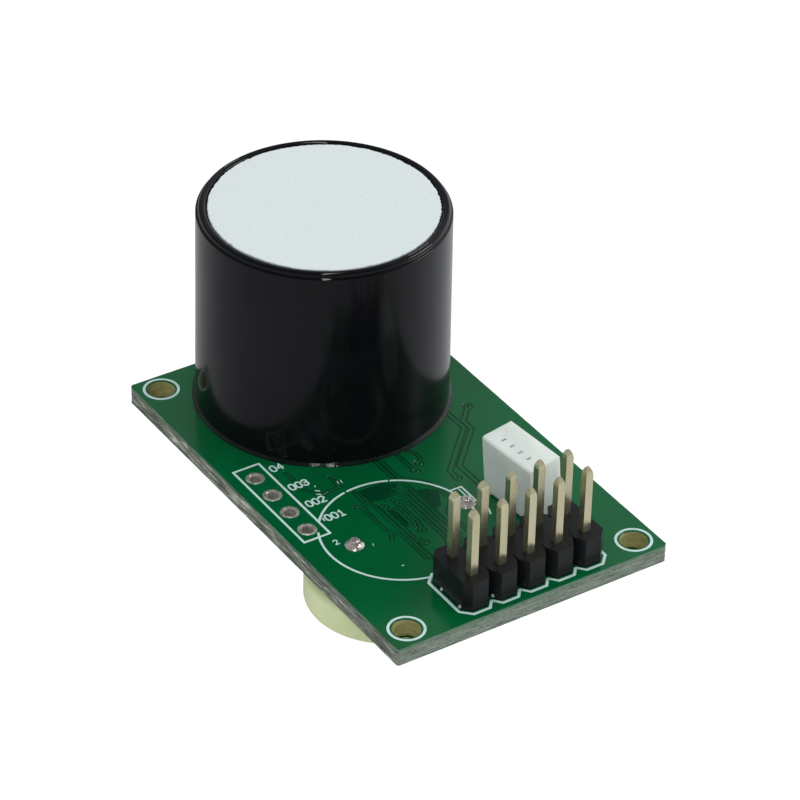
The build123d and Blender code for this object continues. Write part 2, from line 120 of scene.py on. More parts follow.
def circle(x, y, radius, count):
    angles = [TAU * i / count for i in range(count)]
    return [(x + radius * math.cos(a), y + radius * math.sin(a)) for a in angles]


def arc(x, y, radius, start, end, count):
    """Points along an arc, its angles in degrees."""
    angles = [math.radians(start + (end - start) * i / count) for i in range(count + 1)]
    return [(x + radius * math.cos(a), y + radius * math.sin(a)) for a in angles]


def rounded_outline(half_x, half_y, radius, step):
    """A rectangle with rounded corners, sampled every step and counterclockwise."""
    corners = [(1, -1, -90), (1, 1, 0), (-1, 1, 90), (-1, -1, 180)]
    points = []
    for (sx, sy, start), (tx, ty, _) in zip(corners, corners[1:] + corners[:1]):
        points += arc(sx * (half_x - radius), sy * (half_y - radius), radius, start, start + 90, 6)
        ax, ay = points[-1]
        turned = math.radians(start + 90)
        bx = tx * (half_x - radius) + radius * math.cos(turned)
        by = ty * (half_y - radius) + radius * math.sin(turned)
        count = int(math.dist((ax, ay), (bx, by)) / step)
        points += [(ax + (bx - ax) * i / count, ay + (by - ay) * i / count) for i in range(1, count)]
    return points


def stroke(points, width, tag, ends):
    """Outlines that cover a line of that width with round ends and corners."""
    shapes = [(circle(x, y, width / 2, ends), tag) for x, y in points]
    for (ax, ay), (bx, by) in zip(points, points[1:]):
        run = math.hypot(bx - ax, by - ay)
        if run < 1e-6:
            continue
        nx, ny = -(by - ay) / run * width / 2, (bx - ax) / run * width / 2
        shapes.append(([(ax - nx, ay - ny), (bx - nx, by - ny), (bx + nx, by + ny), (ax + nx, ay + ny)], tag))
    return shapes


def inside(outline, x, y):
    """Which of the points x, y lie inside a closed outline."""
    hit = np.zeros(len(x), bool)
    for (ax, ay), (bx, by) in zip(outline, outline[1:] + outline[:1]):
        if ay != by:
            hit ^= ((ay > y) != (by > y)) & (x < (bx - ax) * (y - ay) / (by - ay) + ax)
    return hit


def cut(shapes):
    """Split the plane along every outline: the points, and each triangle with its shapes' tags."""
    points, faces = [], []
    for outline, _ in shapes:
        faces.append(list(range(len(points), len(points) + len(outline))))
        points += [Vector(p) for p in outline]
    found, _, triangles, _, _, _ = delaunay_2d_cdt(points, [], faces, 0, 1e-5, False)
    triangles = [t for t in triangles if len(t) == 3]
    middle = np.array([sum((found[v] for v in t), Vector((0, 0))) / 3 for t in triangles])
    cells = []
    for t in triangles:
        a, b, c = (found[v] for v in t)
        cells.append((t if (b - a).cross(c - a) > 0 else t[::-1], set()))
    for outline, tag in shapes:
        for i in np.flatnonzero(inside(outline, middle[:, 0], middle[:, 1])):
            cells[i][1].add(tag)
    return found, [(tuple(t), tags) for t, tags in cells if tags]


def slab(name, found, triangles, low, high, material, slot, slope=0.0, up=1):
    """A closed sheet over the triangles, its edges sloping in by slope on the face away from the board."""
    used = sorted({i for t in triangles for i in t})
    place = {v: k for k, v in enumerate(used)}
    sides = {(a, b) for t in triangles for a, b in zip(t, t[1:] + t[:1])}
    rim = [(a, b) for a, b in sides if (b, a) not in sides]
    shift = {}
    for a, b in rim:
        run = found[b] - found[a]
        if run.length > 1e-9:
            normal = Vector((-run.y, run.x)) / run.length
            for v in (a, b):
                shift[v] = shift.get(v, Vector((0, 0))) + normal
    near, far = (low, high)[::up]
    count = len(used)
    points = [(found[v].x, found[v].y, near) for v in used]
    for v in used:
        move = shift.get(v, Vector((0, 0)))
        if move.length > 1e-6:
            move = move.normalized() * slope
        points.append((found[v].x + move.x, found[v].y + move.y, far))
    faces = []
    for t in triangles:
        a, b, c = (place[v] for v in t)
        faces += [(a + count, b + count, c + count), (c, b, a)]
    for a, b in rim:
        a, b = place[a], place[b]
        faces.append((a, b, b + count, a + count))
    piece(name, points, [face[::up] for face in faces], material, slot, [], 30)


def lathe(name, profiles, material, slot, segments, replaces, angle, warp):
    """Closed rings of (radius, height) turned round upright lines; profiles are (x, y, loop) triples.

    A loop may start and end on the line itself. warp moves a finished point.
    """
    points, faces = [], []
    for x, y, loop in profiles:
        rings = []
        for radius, z in loop:
            if radius < 1e-6:
                rings.append([len(points)])
                points.append((x, y, z))
                continue
            rings.append(list(range(len(points), len(points) + segments)))
            for i in range(segments):
                a = TAU * i / segments
                points.append((x + radius * math.cos(a), y + radius * math.sin(a), z))
        pairs = list(zip(rings, rings[1:]))
        if len(rings[0]) > 1 and len(rings[-1]) > 1:
            pairs.append((rings[-1], rings[0]))
        for one, two in pairs:
            for i in range(segments):
                j = (i + 1) % segments
                if len(one) == 1:
                    faces.append((one[0], two[j], two[i]))
                elif len(two) == 1:
                    faces.append((one[i], one[j], two[0]))
                else:
                    faces.append((one[i], one[j], two[j], two[i]))
    points = [warp(*p) for p in points]
    return piece(name, points, faces, material, slot, replaces, angle)


# Materials

def linear(r, g, b):
    """An sRGB colour, 0 to 255, as the linear colour that shaders use."""
    values = [c / 255 for c in (r, g, b)]
    return tuple(c / 12.92 if c <= 0.04045 else ((c + 0.055) / 1.055) ** 2.4 for c in values) + (1.0,)


class Look:
    """A Principled material with helpers for its procedural parts. Scales are in features per millimetre."""

    def __init__(self, name, metal=0.0, **sockets):
        self.material = bpy.data.materials.new(name)
        self.material.use_nodes = True
        self.tree = self.material.node_tree
        self.shader = self.tree.nodes["Principled BSDF"]
        self.shader.inputs["Metallic"].default_value = metal
        for key, value in sockets.items():
            self.shader.inputs[key.replace("_", " ")].default_value = value
        self.last_bump = None

    def node(self, kind, **values):
        made = self.tree.nodes.new(kind)
        for key, value in values.items():
            if key in made.bl_rna.properties:
                setattr(made, key, value)
            else:
                made.inputs[key.replace("_", " ")].default_value = value
        return made

    def link(self, start, end):
        self.tree.links.new(start, end)

    def noise(self, scale, detail=3.0, stretch=(1, 1, 1), rough=0.55, offset=(0, 0, 0), kind="noise"):
        """A noise value whose features are about 1/scale mm across, divided by stretch along each axis."""
        coords = self.node("ShaderNodeTexCoord")
        mapping = self.node("ShaderNodeMapping")
        mapping.inputs["Scale"].default_value = [s / MM for s in stretch]
        mapping.inputs["Location"].default_value = offset
        self.link(coords.outputs["Object"], mapping.inputs["Vector"])
        if kind == "noise":
            texture = self.node("ShaderNodeTexNoise", Scale=scale, Detail=detail, Roughness=rough)
            value = texture.outputs["Fac"]
        else:
            texture = self.node("ShaderNodeTexVoronoi", Scale=scale)
            value = texture.outputs["Distance"]
        self.link(mapping.outputs["Vector"], texture.inputs["Vector"])
        return value

    def height(self):
        """Height above the underside of the board, in metres."""
        coords = self.node("ShaderNodeTexCoord")
        split = self.node("ShaderNodeSeparateXYZ")
        self.link(coords.outputs["Object"], split.inputs[0])
        return split.outputs["Z"]

    def ramp(self, value, *stops):
        """Colours by value: stops are (position, sRGB colour)."""
        ramp = self.node("ShaderNodeValToRGB")
        elements = ramp.color_ramp.elements
        while len(elements) < len(stops):
            elements.new(0.5)
        for element, (position, colour) in zip(elements, stops):
            element.position = position
            element.color = linear(*colour)
        self.link(value, ramp.inputs["Fac"])
        return ramp.outputs["Color"]

    def span(self, value, low, high, start=0.3, end=0.7):
        """The value, from start to end, mapped to low to high."""
        made = self.node("ShaderNodeMapRange", clamp=True)
        for socket, number in zip(made.inputs[1:5], (start, end, low, high)):
            socket.default_value = number
        self.link(value, made.inputs["Value"])
        return made.outputs["Result"]

    def mix(self, factor, one, two):
        """Two colours mixed by a factor; each is a socket or an sRGB colour."""
        made = self.node("ShaderNodeMix", data_type="RGBA")
        self.link(factor, made.inputs[0])
        for socket, value in ((made.inputs[6], one), (made.inputs[7], two)):
            if isinstance(value, tuple):
                socket.default_value = linear(*value)
            else:
                self.link(value, socket)
        return made.outputs[2]

    def colour(self, value):
        self.link(value, self.shader.inputs["Base Color"])

    def roughness(self, value):
        self.link(value, self.shader.inputs["Roughness"])

    def bump(self, value, depth):
        """Relief of that depth in millimetres."""
        made = self.node("ShaderNodeBump")
        made.inputs["Distance"].default_value = depth * MM
        self.link(value, made.inputs["Height"])
        if self.last_bump:
            self.link(self.last_bump, made.inputs["Normal"])
        self.last_bump = made.outputs["Normal"]
        self.link(self.last_bump, self.shader.inputs["Normal"])


def mottled(name, colours, scale, rough, metal=0.0, bump=(6.0, 0.003), stretch=(1, 1, 1), **sockets):
    """A material whose colour and gloss drift slowly, with a fine relief."""
    look = Look(name, metal=metal, **sockets)
    look.colour(look.ramp(look.noise(scale, 4.0, stretch), (0.3, colours[0]), (0.7, colours[1])))
    look.roughness(look.span(look.noise(scale * 2.3, 3.0, stretch, offset=(5, 3, 1)), *rough))
    look.bump(look.noise(bump[0], 3.0, stretch, offset=(1, 7, 2)), bump[1])
    return look.material


def mask_look(name, deep, light):
    """Solder mask: deep green, satin gloss, with a faint weave and slow colour drift."""
    look = Look(name, IOR=1.5, Specular_IOR_Level=0.4)
    drift = look.noise(0.12, 3.0)
    look.colour(look.ramp(drift, (0.35, deep), (0.65, light)))
    look.roughness(look.span(look.noise(0.8, 3.0, offset=(2, 2, 2)), 0.13, 0.19))
    look.bump(look.noise(3.2, 2.0), 0.0012)
    return look.material


MASK_COPPER = mask_look("mask_over_copper", (0, 86, 45), (0, 94, 51))
MASK_LAMINATE = mask_look("mask_over_laminate", (1, 56, 34), (3, 64, 39))


def laminate_look():
    """Cut glass fibre: fine grain on the ends, torn dark streaks on the long sides, green by the top mask."""
    look = Look("laminate_edge", IOR=1.5, Specular_IOR_Level=0.4)
    long = look.noise(1.0, 5.0, (0.5, 0.35, 9.0), 0.7)
    fine = look.noise(4.0, 3.0, (0.7, 0.5, 3.0), 0.6, (3, 1, 4))
    base = look.ramp(long, (0.34, (54, 62, 54)), (0.47, (100, 114, 102)), (0.58, (132, 144, 130)),
                     (0.7, (178, 184, 172)))
    grain = look.ramp(fine, (0.35, (62, 72, 62)), (0.65, (148, 158, 144)))
    fibres = look.mix(look.span(fine, 0.0, 0.7, 0.4, 0.6), base, grain)
    streaks = look.noise(0.9, 5.0, (1, 0.5, 6.0), 0.75, (7, 2, 5))
    torn = look.ramp(streaks, (0.36, (22, 26, 22)), (0.46, (84, 88, 78)), (0.56, (140, 142, 130)),
                     (0.64, (222, 222, 212)))
    facing = look.node("ShaderNodeNewGeometry")
    split = look.node("ShaderNodeSeparateXYZ")
    look.link(facing.outputs["Normal"], split.inputs[0])
    along = look.node("ShaderNodeMath", operation="ABSOLUTE")
    look.link(split.outputs["X"], along.inputs[0])
    cut_faces = look.mix(look.span(along.outputs[0], 0.0, 0.75, 0.5, 0.9), fibres, torn)
    tint = look.span(look.height(), 0.0, 0.55, 1.0 * MM, 1.6 * MM)
    look.colour(look.mix(tint, cut_faces, (30, 112, 70)))
    look.roughness(look.span(fine, 0.55, 0.8))
    look.bump(fine, 0.03)
    return look.material


LAMINATE = laminate_look()
BORE = mottled("laminate_bore", [(142, 138, 80), (176, 170, 110)], 1.5, (0.5, 0.7), bump=(5.0, 0.01),
               stretch=(1, 1, 2.5))
INK_WHITE = mottled("white_ink", [(182, 214, 208), (205, 228, 223)], 1.2, (0.42, 0.55), bump=(9.0, 0.003),
                    Specular_IOR_Level=0.4)
TIN = mottled("tinned_copper", [(170, 164, 152), (208, 203, 192)], 1.8, (0.25, 0.42), 0.55, (4.0, 0.008))
BARREL = mottled("service_hole_tin", [(146, 143, 134), (236, 233, 226)], 2.6, (0.16, 0.34), 0.6, (3.0, 0.012))
JOINT = mottled("tab_solder", [(206, 190, 186), (244, 238, 236)], 1.6, (0.1, 0.22), 0.75, (2.4, 0.035))
SOLDER = mottled("solder", [(200, 194, 190), (236, 232, 228)], 1.3, (0.14, 0.3), 0.5, (2.2, 0.012))
PLATING = mottled("pin_plating", [(212, 205, 168), (228, 222, 188)], 0.9, (0.19, 0.29), 0.93, (5.0, 0.0006),
                  (1, 1, 0.15))
HEADER_BLACK = mottled("header_plastic", [(14, 15, 17), (21, 22, 25)], 0.7, (0.3, 0.42), 0.0, (7.0, 0.004),
                       Specular_IOR_Level=0.28)
PLASTIC_BLACK = mottled("base_plastic", [(24, 24, 24), (34, 34, 34)], 0.6, (0.45, 0.6), 0.0, (8.0, 0.005))
EPOXY_BLACK = mottled("package_epoxy", [(34, 34, 35), (44, 44, 45)], 2.0, (0.5, 0.65), 0.0, (14.0, 0.006))
POTTING = mottled("potting_epoxy", [(16, 16, 18), (28, 28, 32)], 0.5, (0.15, 0.3), 0.0, (1.0, 0.01))
CERAMIC = mottled("piezo_ceramic", [(206, 198, 170), (224, 218, 196)], 0.8, (0.25, 0.4), 0.0, (8.0, 0.003))
RUBBER = mottled("damping_rubber", [(24, 24, 24), (38, 38, 38)], 0.8, (0.7, 0.85), 0.0, (4.0, 0.02))
FELT = mottled("backing_felt", [(120, 112, 100), (150, 142, 130)], 2.0, (0.85, 0.95), 0.0, (5.0, 0.06))
COPPER = mottled("copper_wire", [(176, 96, 52), (200, 122, 74)], 1.5, (0.2, 0.35), 1.0, (6.0, 0.002))
STEEL = mottled("capacitor_steel", [(186, 186, 183), (206, 206, 203)], 0.5, (0.26, 0.4), 0.55, (2.0, 0.002),
                (1, 6, 1))
CARBON = mottled("carbon_stack", [(26, 26, 27), (40, 40, 42)], 1.0, (0.7, 0.85), 0.0, (6.0, 0.02))
XTAL_BASE = mottled("crystal_ceramic", [(104, 92, 78), (122, 110, 94)], 1.5, (0.5, 0.65), 0.0, (6.0, 0.005))
XTAL_LID = mottled("crystal_lid", [(196, 188, 160), (214, 208, 184)], 0.8, (0.2, 0.32), 1.0, (1.0, 0.003),
                   (1, 8, 1))
CHIP_TAN = mottled("chip_capacitor", [(150, 116, 82), (176, 142, 106)], 1.6, (0.4, 0.55), 0.0, (8.0, 0.005))
CHIP_BLACK = mottled("chip_resistor", [(22, 22, 24), (32, 32, 34)], 1.6, (0.25, 0.4), 0.0, (8.0, 0.003))
FLUX = mottled("dried_flux", [(150, 160, 152), (186, 196, 188)], 3.0, (0.3, 0.45), 0.0, (5.0, 0.01))


def can_look():
    """Glossy black paint with a slow ripple and a few specks of dust."""
    look = Look("can_black", IOR=1.5, Specular_IOR_Level=0.2)
    shade = look.ramp(look.noise(0.3, 3.0), (0.35, (9, 10, 13)), (0.65, (14, 15, 19)))
    speck = look.span(look.noise(0.22, kind="cells"), 1.0, 0.0, 0.012, 0.022)
    look.colour(look.mix(speck, shade, (150, 156, 158)))
    look.roughness(look.span(look.noise(1.2, 4.0, (1, 1, 0.25)), 0.13, 0.2))
    look.bump(look.noise(0.35, 2.0, (1, 1, 0.3)), 0.004)
    return look.material


def film_look():
    """Pale matt film, finely textured and not quite flat."""
    look = Look("face_film", Specular_IOR_Level=0.3)
    fine = look.noise(5.0, 4.0)
    slow = look.noise(0.25, 3.0, offset=(4, 4, 4))
    look.colour(look.mix(look.span(fine, 0.0, 1.0, 0.35, 0.65), (208, 216, 216), (215, 223, 223)))
    look.roughness(look.span(slow, 0.6, 0.75))
    look.bump(fine, 0.006)
    look.bump(look.noise(0.7, 2.0, offset=(9, 0, 3)), 0.015)
    return look.material


def nylon_look():
    """White nylon that light enters a little."""
    look = Look("socket_nylon", IOR=1.53, Specular_IOR_Level=0.45, Subsurface_Weight=0.5,
                Subsurface_Radius=(1.0, 1.0, 0.9), Subsurface_Scale=0.8 * MM)
    look.shader.subsurface_method = "RANDOM_WALK"
    look.colour(look.ramp(look.noise(0.5, 3.0), (0.35, (212, 220, 213)), (0.65, (222, 229, 223))))
    look.roughness(look.span(look.noise(1.5, 3.0, offset=(3, 3, 3)), 0.3, 0.42))
    look.bump(look.noise(3.0, 3.0), 0.004)
    return look.material


def sleeve_look():
    """Yellow-green shrink film, with painted shade that darkens it towards the board above."""
    look = Look("capacitor_sleeve", IOR=1.5, Specular_IOR_Level=0.4)
    film = look.ramp(look.noise(0.4, 3.0), (0.35, (214, 224, 170)), (0.65, (224, 232, 182)))
    # Painted shade: the film's colour darkens by height towards the board's underside, where the board shades
    # it.
    painted_shade = look.span(look.height(), 0.0, 0.8, -1.9 * MM, -0.5 * MM)
    look.colour(look.mix(painted_shade, film, (124, 136, 92)))
    look.roughness(look.span(look.noise(0.9, 3.0, (1, 1, 2)), 0.28, 0.42))
    look.bump(look.noise(0.9, 2.0, (1, 1, 0.5)), 0.02)
    return look.material


def bead_look():
    """Clear dark adhesive, uneven and glossy."""
    look = Look("adhesive", IOR=1.48, Specular_IOR_Level=0.5)
    look.colour(look.ramp(look.noise(0.6, 3.0), (0.35, (4, 18, 13)), (0.65, (8, 30, 20))))
    look.roughness(look.span(look.noise(1.5, 3.0), 0.06, 0.16))
    look.bump(look.noise(1.1, 3.0), 0.03)
    return look.material


CAN_BLACK = can_look()
RIM_BLACK = mottled("can_rim", [(7, 8, 10), (11, 12, 15)], 0.5, (0.03, 0.06), 0.0, (0.6, 0.001),
                    Specular_IOR_Level=0.28)
FILM = film_look()
NYLON = nylon_look()
SLEEVE = sleeve_look()
BEAD = bead_look()


# Board: a laminate core between two masks, each a thin sheet with the copper's relief on it

def cut_depth(x, y, z, in_hole):
    """How far the laminate's wall stands in from its outline: coarse fibres outside, finer ones in a hole."""
    if in_hole:
        return 0.02 * (0.5 + 0.5 * wobble(x * 3, y * 3, z * 9))
    along = 0.5 + 0.5 * wobble(x * 0.8, y * 0.8, z * 14.0)
    fine = 0.5 + 0.5 * wobble(x * 4.0, y * 4.0, z * 22.0)
    return 0.012 + 0.05 * along + 0.045 * fine


def core_walls(rings, levels):
    """Points of the walls round every ring, and for each ring its point numbers level by level."""
    points, loops = [], []
    for n, ring in enumerate(rings):
        loop = []
        for k in range(levels + 1):
            z = MASK_DEEP + (BOARD_TOP - 2 * MASK_DEEP) * k / levels
            loop.append(list(range(len(points), len(points) + len(ring))))
            for i, (x, y) in enumerate(ring):
                ax, ay = ring[i - 1]
                bx, by = ring[(i + 1) % len(ring)]
                run = math.hypot(bx - ax, by - ay)
                depth = cut_depth(x, y, z, n > 0)
                points.append((x - (by - ay) / run * depth, y + (bx - ax) / run * depth, z))
        loops.append(loop)
    return points, loops


def core_lid(points, loops, level):
    """Triangles that close the core at one level, facing up, with the holes left open."""
    numbers = [i for loop in loops for i in loop[level]]
    flat = [Vector(points[i][:2]) for i in numbers]
    shapes, start = [], 0
    for loop in loops:
        shapes.append(list(range(start, start + len(loop[level]))))
        start += len(loop[level])
    found, _, triangles, first, _, origins = delaunay_2d_cdt(flat, [], shapes, 1, 1e-7, True)
    lid = []
    for (a, b, c), ids in zip(triangles, origins):
        if set(ids) == {0}:
            if (found[b] - found[a]).cross(found[c] - found[a]) < 0:
                b, c = c, b
            lid.append([numbers[first[v][0]] for v in (a, b, c)])
    return lid


def board_core():
    """The laminate, its milled edge drawn as fibres and its open holes lined."""
    outline = rounded_outline(HALF_X, HALF_Y, CORNER_R, 0.16)
    holes = [circle(x, y, r, 48) for x, y, r in HOLES]
    levels = 14
    points, loops = core_walls([outline] + holes, levels)
    faces = []
    for n, loop in enumerate(loops):
        size = len(loop[0])
        for k in range(levels):
            for i in range(size):
                j = (i + 1) % size
                quad = (loop[k][i], loop[k][j], loop[k + 1][j], loop[k + 1][i])
                faces.append(quad if n == 0 else quad[::-1])
    faces += [corners[::-1] for corners in core_lid(points, loops, 0)]
    faces += core_lid(points, loops, levels)
    made = piece("board_core", points, faces, LAMINATE, "circuit_board", ["circuit_board"], 50)
    made.data.materials.append(BORE)
    side_faces = len(outline) * levels
    bore_faces = sum(len(h) for h in holes) * levels
    for polygon in made.data.polygons[side_faces:side_faces + bore_faces]:
        polygon.material_index = 1


def vias(places):
    shapes = []
    for x, y in places:
        shapes.append((circle(x, y, VIA_R + GAP, 20), "gap"))
        shapes.append((circle(x, y, VIA_R, 20), "track"))
        shapes.append((circle(x, y, DRILL_R, 12), "drill"))
    return shapes


def tracks(lines, width):
    shapes = []
    for line in lines:
        shapes += stroke(line, width + 2 * GAP, "gap", 10)
        shapes += stroke(line, width, "track", 10)
    return shapes


TOP_WIDE = [
    [(7.4, 4.4), (7.4, 0.95), (3.27, -3.25), (3.27, -4.25)],
    [(9.3, 3.25), (7.85, 1.75), (7.85, 0.55), (4.27, -3.05), (4.27, -6.2)],
]
TOP_NARROW = [
    [(0.95, -1.8), (0.95, 1.4)],
    [(1.8, -1.15), (2.25, -0.6), (2.25, 0.1), (1.9, 0.6), (1.9, 1.6)],
    [(-5.5, -3.45), (-5.2, -3.4), (-4.95, -3.9), (-5.1, -4.4), (-5.05, -7.1), (-4.35, -8.4), (-4.35, -11.6)],
    [(-5.35, -8.3), (-4.9, -7.5)],
    [(-3.6, -4.5), (-3.75, -5.1), (-3.78, -9.0), (-3.4, -9.75)],
    [(-4.55, -1.7), (-4.55, -3.2), (-4.15, -3.9), (-4.1, -8.6), (-4.0, -11.8)],
    [(-2.95, -7.45), (-2.95, -5.25)],
    [(-2.72, -3.95), (-2.1, -4.55), (-1.72, -5.2), (-1.72, -10.2), (-2.1, -11.2), (-2.1, -12.9)],
    [(-2.35, -4.65), (-2.35, -7.2), (-2.6, -8.3)],
    [(-2.2, -3.3), (-1.35, -4.3), (-1.35, -10.2), (-1.7, -11.2), (-1.7, -12.9)],
    [(-1.75, -2.9), (-1.0, -3.8), (-1.0, -10.2), (-1.3, -11.2), (-1.3, -12.9)],
    [(-1.0, 1.6), (-1.0, -2.3), (-0.62, -3.0), (-0.62, -10.2), (-0.9, -11.0), (-0.9, -12.9)],
    [(-0.6, 1.6), (-0.6, -1.8), (0.9, -3.4), (1.3, -4.9), (1.3, -6.4), (0.2, -7.6), (0.2, -12.9)],
    [(-7.7, 3.2), (-7.7, 0.6), (-7.3, 0.1)],
    [(-7.0, -0.75), (-6.2, -0.55), (-5.1, -0.55), (-5.1, 0.9)],
    [(3.6, -12.9), (3.6, -9.8), (4.9, -8.2)],
]
TOP_VIAS = [
    (3.27, -4.27), (9.3, 3.25), (1.02, -1.83), (1.8, -1.15), (-3.4, -9.8), (-2.95, -7.45), (-2.72, -8.45),
    (-2.85, -5.3), (-2.72, -3.95), (-2.35, -4.65), (-3.6, -4.5), (-1.0, -2.3), (10.6, -5.1), (11.0, 10.2),
]
TOP_VOIDS = [
    [(-4.3, -1.75), (-2.0, -1.75), (-1.2, -2.6), (-2.0, -3.6), (-3.3, -3.7), (-4.2, -3.5)],
    [(-0.4, -4.0), (0.5, -4.2), (1.1, -5.0), (0.2, -6.6), (-0.4, -6.9)],
    [(-4.0, -5.0), (-3.2, -5.0), (-3.2, -7.6), (-4.0, -7.6)],
]


def relief(side, wide, narrow, via_places, voids, pads=()):
    """One face's mask: a dark base sheet, and over the copper a raised lighter one."""
    up, face = SIDES[side]
    ragged = []
    for x, y in rounded_outline(HALF_X - 0.02, HALF_Y - 0.02, CORNER_R, 0.5):
        inset = 0.03 * (0.5 + 0.5 * wobble(x * 2, y * 2, 3.0 * up))
        scale = 1 - inset / max(abs(x), abs(y))
        ragged.append((x * scale, y * scale))
    hole_gap = 0.02
    mount_gap = hole_gap if up > 0 else -0.2  # the lower mask overhangs the mounting holes
    holes = []
    for x, y, r in HOLES:
        holes.append((circle(x, y, r + (mount_gap if r == MOUNT_R else hole_gap), 48), "hole"))
    found, cells = cut([(ragged, "board")] + holes)
    plain = [t for t, tags in cells if "hole" not in tags]
    deep = sorted((face - up * MASK_DEEP, face - up * COPPER_DEEP))
    slab(f"mask_base_{side}", found, plain, *deep, MASK_LAMINATE, "circuit_board", up=up)
    shapes = [(ragged, "board")] + holes
    shapes += [(void, "gap") for void in voids]
    shapes += [(pad, "gap") for pad in pads]
    shapes += tracks(wide, WIDE_TRACK) + tracks(narrow, NARROW_TRACK) + vias(via_places)
    found, cells = cut(shapes)
    copper = []
    for triangle, tags in cells:
        if "board" in tags and not tags & {"hole", "drill"} and ("track" in tags or "gap" not in tags):
            copper.append(triangle)
    high = sorted((face - up * COPPER_DEEP, face))
    slab(f"mask_copper_{side}", found, copper, *high, MASK_COPPER, "circuit_board", 0.03, up)


DIGITS = {
    "0": [[(0, 0.15), (0, 0.57), (0.12, 0.72), (0.3, 0.72), (0.42, 0.57), (0.42, 0.15), (0.3, 0), (0.12, 0),
           (0, 0.15)]],
    "1": [[(0.08, 0.58), (0.24, 0.72), (0.24, 0)], [(0.08, 0), (0.4, 0)]],
    "2": [[(0, 0.58), (0.12, 0.72), (0.3, 0.72), (0.42, 0.58), (0.42, 0.44), (0, 0), (0.42, 0)]],
    "3": [[(0, 0.6), (0.12, 0.72), (0.3, 0.72), (0.42, 0.6), (0.42, 0.46), (0.3, 0.37), (0.15, 0.37)],
          [(0.3, 0.37), (0.42, 0.27), (0.42, 0.12), (0.3, 0), (0.12, 0), (0, 0.12)]],
    "4": [[(0.32, 0), (0.32, 0.72), (0, 0.24), (0.44, 0.24)]],
    "5": [[(0.42, 0.72), (0, 0.72), (0, 0.42), (0.28, 0.44), (0.42, 0.3), (0.42, 0.14), (0.28, 0), (0, 0)]],
    "6": [[(0.4, 0.72), (0.16, 0.62), (0, 0.36), (0, 0.14), (0.12, 0), (0.3, 0), (0.42, 0.14), (0.42, 0.28),
           (0.3, 0.42), (0.02, 0.36)]],
    "7": [[(0, 0.72), (0.42, 0.72), (0.16, 0)]],
    "8": [[(0.12, 0.38), (0, 0.5), (0, 0.6), (0.12, 0.72), (0.3, 0.72), (0.42, 0.6), (0.42, 0.5), (0.3, 0.38),
           (0.12, 0.38), (0, 0.26), (0, 0.12), (0.12, 0), (0.3, 0), (0.42, 0.12), (0.42, 0.26), (0.3, 0.38)]],
    "9": [[(0.02, 0), (0.26, 0.1), (0.42, 0.36), (0.42, 0.58), (0.3, 0.72), (0.12, 0.72), (0, 0.58),
           (0, 0.44), (0.12, 0.3), (0.4, 0.36)]],
}


def number(text, x, y, size=1.0, width=0.15, mirror=1):
    """A printed number's strokes, its first corner at x, y. Size 1 is 0.72 mm tall."""
    shapes = []
    for k, digit in enumerate(text):
        for line in DIGITS[digit]:
            points = [(x + (u + 0.58 * k) * size * mirror, y + v * size) for u, v in line]
            shapes += ink(points, width)
    return shapes


def closed(points):
    return points + points[:1]


def ink(points, width, ends=8):
    return stroke(points, width, "ink", ends)


def print_ink(side, shapes):
    """Printed lines as one thin raised sheet."""
    up, face = SIDES[side]
    found, cells = cut(shapes)
    inked = [t for t, tags in cells if "ink" in tags and "clear" not in tags]
    ends = (face, face + up * INK)
    slab(f"white_print_{side}", found, inked, min(ends), max(ends), INK_WHITE, None, 0.012, up)


def header_outline():
    """The printed line round the header, with a notch between each two cells on its long sides."""
    half, out, corner, chamfer, notch = PITCH / 2, 0.28, 0.78, 0.56, 0.62
    x0 = HEADER_X - half - out
    x1 = HEADER_X + 4 * PITCH + half + out
    y0 = HEADER_Y - half - out
    y1 = HEADER_Y + PITCH + half + out
    lower = [(x0, y0 + corner)]
    for c in range(5):
        left = HEADER_X + PITCH * c - half
        lower += [(left + chamfer, y0), (left + PITCH - chamfer, y0)]
        if c < 4:
            lower += [(left + PITCH - 0.05, y0 + notch), (left + PITCH + 0.05, y0 + notch)]
    lower[1] = (x0 + corner, y0)
    lower[-1] = (x1 - corner, y0)
    lower.append((x1, y0 + corner))
    return lower + [(x, y0 + y1 - y) for x, y in reversed(lower)]


def mount_rings():
    return [shape for x, y in MOUNTS for shape in ink(closed(circle(x, y, 1.37, 56)), 0.23)]


TICKS = [
    (-6.95, -8.25, -6.85, -7.95, 0.06), (-6.45, -11.4, -6.3, -11.45, 0.1), (-7.0, -0.02, -6.74, -0.2, 0.11),
    (-7.15, -0.47, -6.89, -0.65, 0.11), (-6.75, 0.45, -6.7, 0.5, 0.12), (-4.98, -0.2, -4.93, 0.15, 0.08),
    (-4.68, -0.2, -4.63, 0.15, 0.08),
]


def top_print():
    """Rings, the box round the row of holes, a broken circle, the header's outline and numbers."""
    line = 0.2
    shapes = mount_rings()
    shapes += ink(closed([(-11.2, -5.17), (-8.9, -5.17), (-8.9, 5.27), (-11.2, 5.27)]), line, 12)
    for start, end in ((-54, 64), (66.5, 98), (101, 139.5), (153, 288)):
        shapes += ink(arc(-4.09, -7.56, 6.26, start, end, 64), line)
    shapes += ink([(1.8, -5.42), (2.88, -5.42), (2.88, -7.5)], 0.17, 12)
    shapes += ink([(2.55, -5.6), (2.55, -6.9)], 0.12, 12)
    shapes += ink(closed(header_outline()), 0.24, 12)
    for text, x, y in (("04", -8.5, 3.75), ("003", -8.5, 0.95), ("002", -8.5, -1.55), ("001", -8.2, -3.8)):
        shapes += number(text, x, y)
    shapes += ink([(-8.42, -3.35), (-8.42, -3.6)], 0.14)
    shapes += number("2", -9.3, -6.65, 0.75, 0.1)
    shapes += number("7", 2.75, -9.5, 0.85, 0.16)
    for x0, y0, x1, y1, width in TICKS:
        shapes += ink([(x0, y0), (x1, y1)], width, 6)
    shapes += [(circle(x, y, PORT_RING_R, 24), "clear") for x, y in PORTS]
    print_ink("top", shapes)


